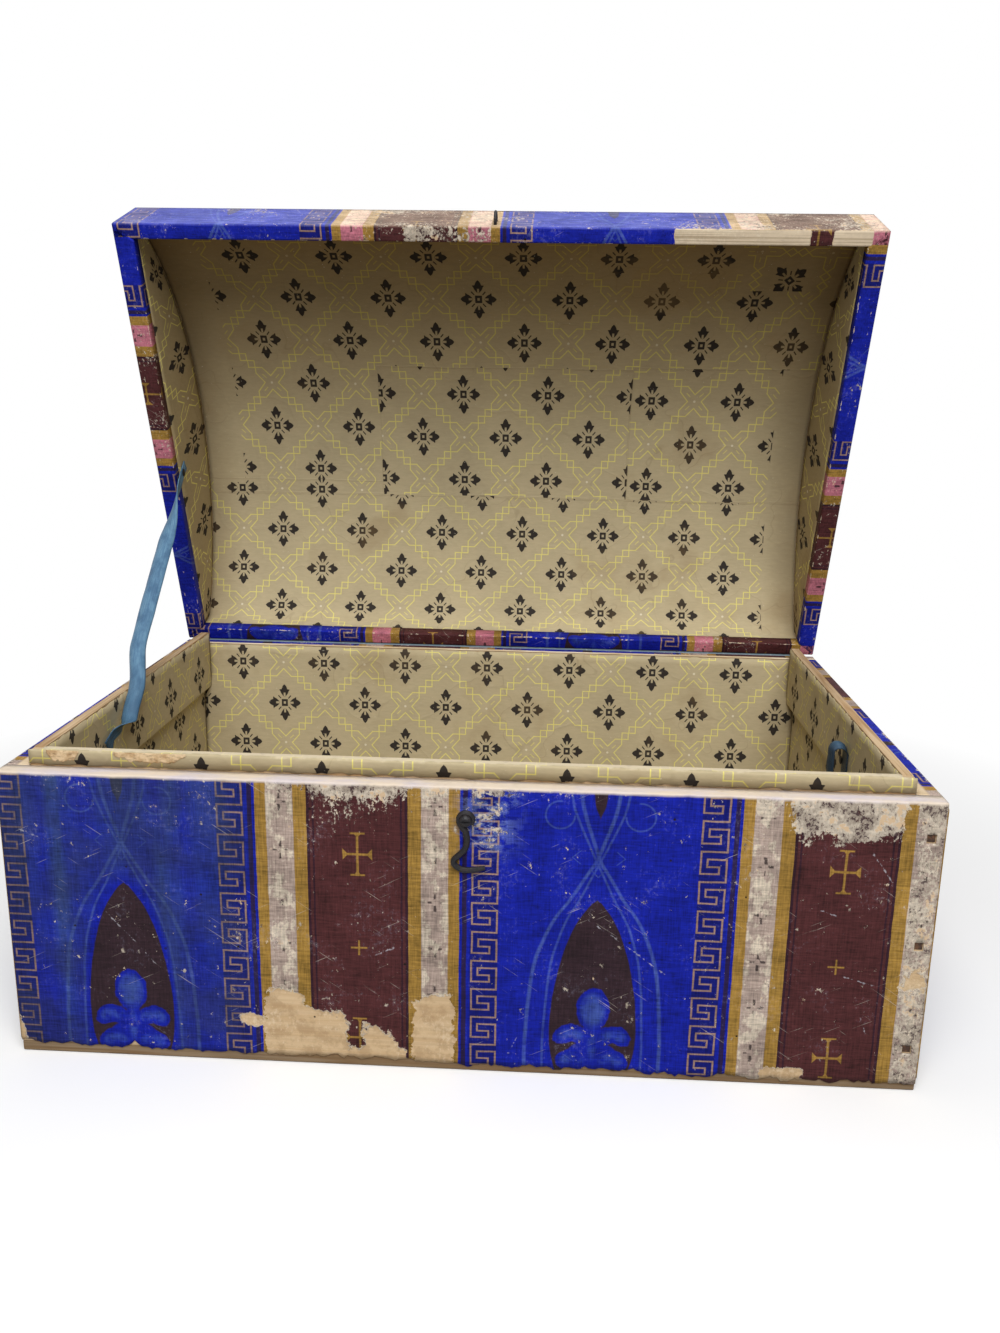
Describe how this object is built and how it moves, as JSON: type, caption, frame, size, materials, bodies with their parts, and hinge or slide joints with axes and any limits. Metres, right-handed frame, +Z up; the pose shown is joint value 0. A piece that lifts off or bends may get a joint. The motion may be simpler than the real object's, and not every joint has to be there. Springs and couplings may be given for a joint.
{
  "type": "dome-top dowry box",
  "caption": "Small dome-top box of nailed pine boards under printed paper: hinged staved lid held open by a ribbon stay, lip strips inside the rim, wire hook and staple.",
  "frame": {"origin": "middle of the base's underside", "axes": "+Z up, +X to the right as the front is faced, the front faces -Y, the hinge is at +Y"},
  "size_m": [0.5214, 0.3961, 0.5056],
  "materials": {
    "pine": "bare aged pine",
    "cover_paper": "printed wallpaper",
    "lining_paper": "printed lining paper",
    "linen": "linen strip",
    "iron": "dark iron",
    "ribbon": "faded blue ribbon"
  },
  "bodies": {
    "base": {"back_board": "pine", "back_cover_paper": "cover_paper", "back_lining_paper": "lining_paper", "bottom_plank_back": "pine", "bottom_plank_front": "pine", "corner_nail_1": "iron", "corner_nail_10": "iron", "corner_nail_11": "iron", "corner_nail_12": "iron", "corner_nail_2": "iron", "corner_nail_3": "iron", "corner_nail_4": "iron", "corner_nail_5": "iron", "corner_nail_6": "iron", "corner_nail_7": "iron", "corner_nail_8": "iron", "corner_nail_9": "iron", "floor_lining_paper": "lining_paper", "front_board": "pine", "front_cover_paper": "cover_paper", "front_lining_paper": "lining_paper", "front_lip": "pine", "hook_screw": "iron", "left_cover_paper": "cover_paper", "left_end_board": "pine", "left_lining_paper": "lining_paper", "left_lip": "pine", "linen_leaf_base": "linen", "ribbon_stay": "ribbon", "ribbon_stump": "ribbon", "right_cover_paper": "cover_paper", "right_end_board": "pine", "right_lining_paper": "lining_paper", "right_lip": "pine", "stay_base_tack": "iron", "stump_tack": "iron"},
    "lid": {"dome_cover_paper": "cover_paper", "dome_lining_paper": "lining_paper", "dome_stave_1": "pine", "dome_stave_2": "pine", "dome_stave_3": "pine", "dome_stave_4": "pine", "dome_stave_5": "pine", "dome_stave_6": "pine", "dome_stave_7": "pine", "lid_back_board": "pine", "lid_back_cover_paper": "cover_paper", "lid_front_board": "pine", "lid_front_cover_paper": "cover_paper", "lid_left_cover_paper": "cover_paper", "lid_left_end_board": "pine", "lid_left_lining_paper": "lining_paper", "lid_right_cover_paper": "cover_paper", "lid_right_end_board": "pine", "lid_right_lining_paper": "lining_paper", "linen_leaf_lid": "linen", "staple": "iron", "stay_lid_tack": "iron"},
    "hook": {"hook": "iron"}
  },
  "joints": [
    {"name": "lid_hinge", "type": "hinge", "parent": "base", "child": "lid", "pos_m": [0, 0.16725, 0.17485], "axis": [1, 0, 0], "range_deg": [0, 70.2], "deforming": ["ribbon_stay"]},
    {"name": "hook_swivel", "type": "hinge", "parent": "base", "child": "hook", "pos_m": [0.002, -0.16875, 0.1566], "axis": [0, -1, 0], "range_deg": [-150, 180]}
  ]
}
